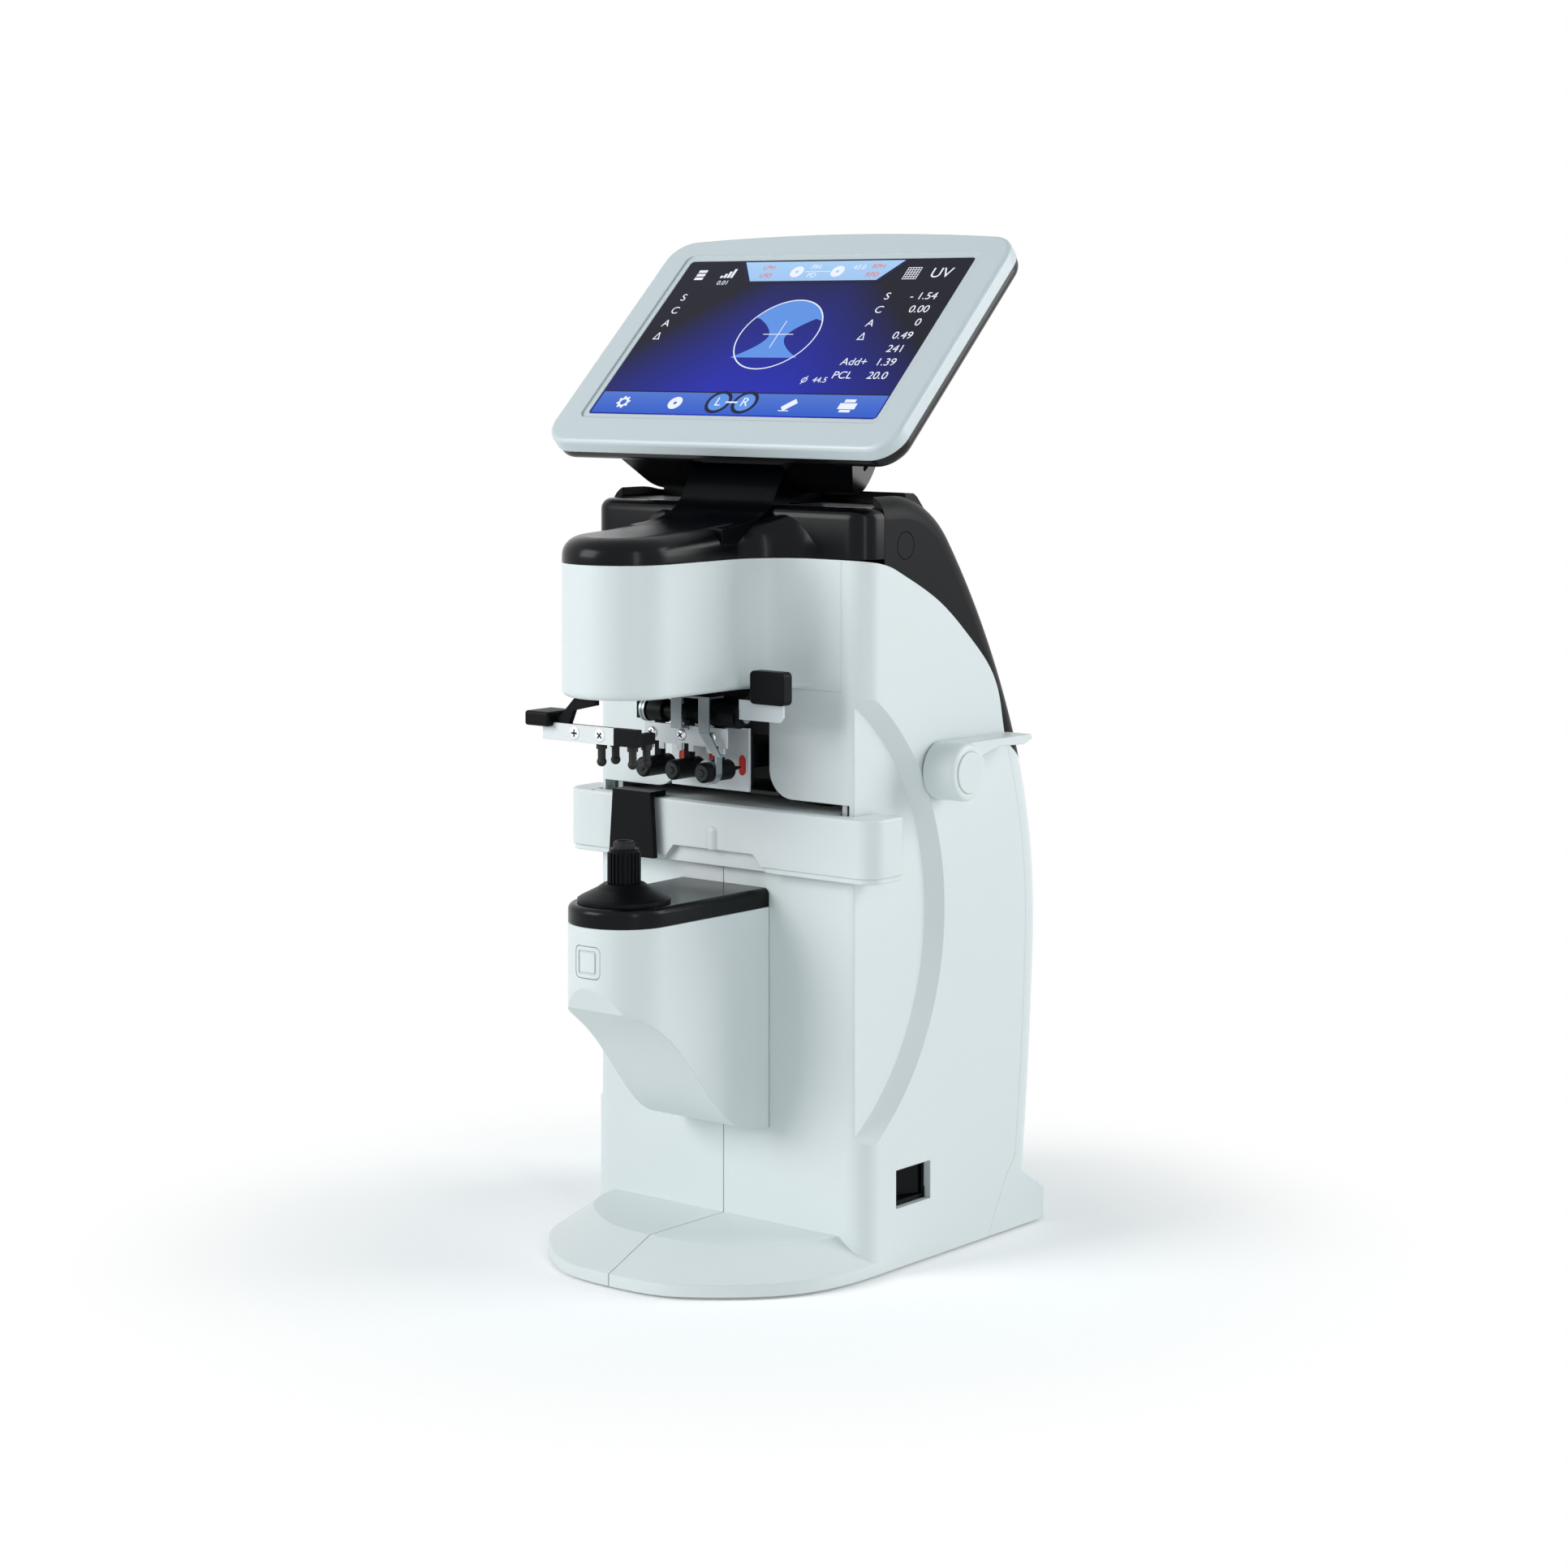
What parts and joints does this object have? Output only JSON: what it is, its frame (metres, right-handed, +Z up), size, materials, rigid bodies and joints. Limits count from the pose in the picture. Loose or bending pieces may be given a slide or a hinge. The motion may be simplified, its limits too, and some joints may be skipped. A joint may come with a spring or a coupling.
{
  "type": "auto lensmeter",
  "caption": "Desktop auto lensmeter with a tilting touch screen, nozzle tower, sliding lens table moved by a side lever, lens presser and marking pens.",
  "frame": {"origin": "middle of the outline on the table top, under the foot pads", "axes": "+Z up, the user stands at -Y, +X to the user's right"},
  "size_m": [0.188, 0.2128, 0.4244],
  "materials": {
    "shell_white": "satin",
    "cap_black": "gloss",
    "trim_black": "satin",
    "plate_white": "satin",
    "dark_liner": "matte",
    "steel": "brushed",
    "bright_steel": "polished",
    "sheet_steel": "matte",
    "rubber_black": "matte",
    "ink_red": "matte",
    "glass_clear": "gloss",
    "board_green": "satin",
    "lens_glass": "gloss"
  },
  "bodies": {
    "base": {"right_shell": "shell_white", "left_shell": "shell_white", "rear_cover": "shell_white", "rear_hood": "trim_black", "head_shell": "shell_white", "head_floor": "trim_black", "head_cap": "cap_black", "hinge_pin": "steel", "opening_liner": "dark_liner", "base_plate": "sheet_steel", "foot_pads": "rubber_black", "chassis": "sheet_steel", "rail_beam": "sheet_steel", "light_source": "trim_black", "light_window": "lens_glass", "sensor_barrel": "trim_black", "tower_shell": "shell_white", "tower_cap": "cap_black", "nozzle_cone": "trim_black", "nozzle": "trim_black", "nozzle_seat": "rubber_black", "button_switch": "trim_black", "ink_plate": "plate_white", "ink_pads": "ink_red", "switch_body": "trim_black", "power_inlet": "trim_black", "circuit_boards": "board_green"},
    "screen": {"screen_bezel": "shell_white", "screen_back": "trim_black", "touch_glass": "glass_clear", "lcd_panel": "trim_black", "screen_board": "board_green"},
    "table": {"lens_table": "shell_white", "table_carrier": "sheet_steel", "table_rails": "steel", "table_rack": "steel"},
    "pd_stop": {"pd_slider": "trim_black"},
    "lever": {"side_lever": "shell_white", "lever_shaft": "steel", "gear_sector": "steel"},
    "presser": {"presser_plate": "plate_white", "presser_block": "trim_black", "presser_guides": "steel", "presser_pins": "rubber_black", "presser_grip": "trim_black", "presser_screws": "steel"},
    "marker": {"marker_carriage": "trim_black", "marker_shaft": "steel", "marker_lever": "plate_white", "marker_grip": "trim_black"},
    "pens": {"pen_hub": "trim_black", "marker_pens": "trim_black", "comb_bracket": "plate_white", "bracket_screws": "steel", "saddle": "bright_steel", "pen_link": "bright_steel"},
    "button": {"read_button": "shell_white"},
    "rocker": {"switch_rocker": "trim_black"}
  },
  "joints": [
    {"name": "screen_tilt", "type": "hinge", "parent": "base", "child": "screen", "pos_m": [0, 0.005, 0.328], "axis": [1, 0, 0], "range_deg": [-20, 12]},
    {"name": "table_lever", "type": "hinge", "parent": "base", "child": "lever", "pos_m": [0.0825, 0.0305, 0.2014], "axis": [-1, 0, 0], "range_deg": [0, 75]},
    {"name": "table_slide", "type": "slide", "parent": "base", "child": "table", "axis": [0, -1, 0], "range_m": [0, 0.035]},
    {"name": "pd_slide", "type": "slide", "parent": "table", "child": "pd_stop", "axis": [1, 0, 0], "range_m": [-0.01, 0.092]},
    {"name": "presser_slide", "type": "slide", "parent": "base", "child": "presser", "axis": [0, 0, -1], "range_m": [0, 0.027]},
    {"name": "marker_slide", "type": "slide", "parent": "base", "child": "marker", "axis": [0, -0.5, -0.866], "range_m": [0, 0.0358], "stiffness_N_per_m": 40, "springref_m": -0.03},
    {"name": "pen_flip", "type": "hinge", "parent": "marker", "child": "pens", "pos_m": [0, -0.041, 0.226], "axis": [-1, 0, 0], "range_deg": [0, 90]},
    {"name": "button_press", "type": "slide", "parent": "base", "child": "button", "axis": [0, 1, 0], "range_m": [0, 0.001], "stiffness_N_per_m": 300, "springref_m": -0.001},
    {"name": "switch_rock", "type": "hinge", "parent": "base", "child": "rocker", "pos_m": [0.065, 0.0132, 0.0334], "axis": [0, 0, 1], "range_deg": [0, 9.5]}
  ],
  "couplings": [
    {"joint": "table_slide", "follows": "table_lever", "m_per_rad": 0.026738},
    {"joint": "pen_flip", "follows": "marker_slide", "rad_per_m": 43.87}
  ]
}
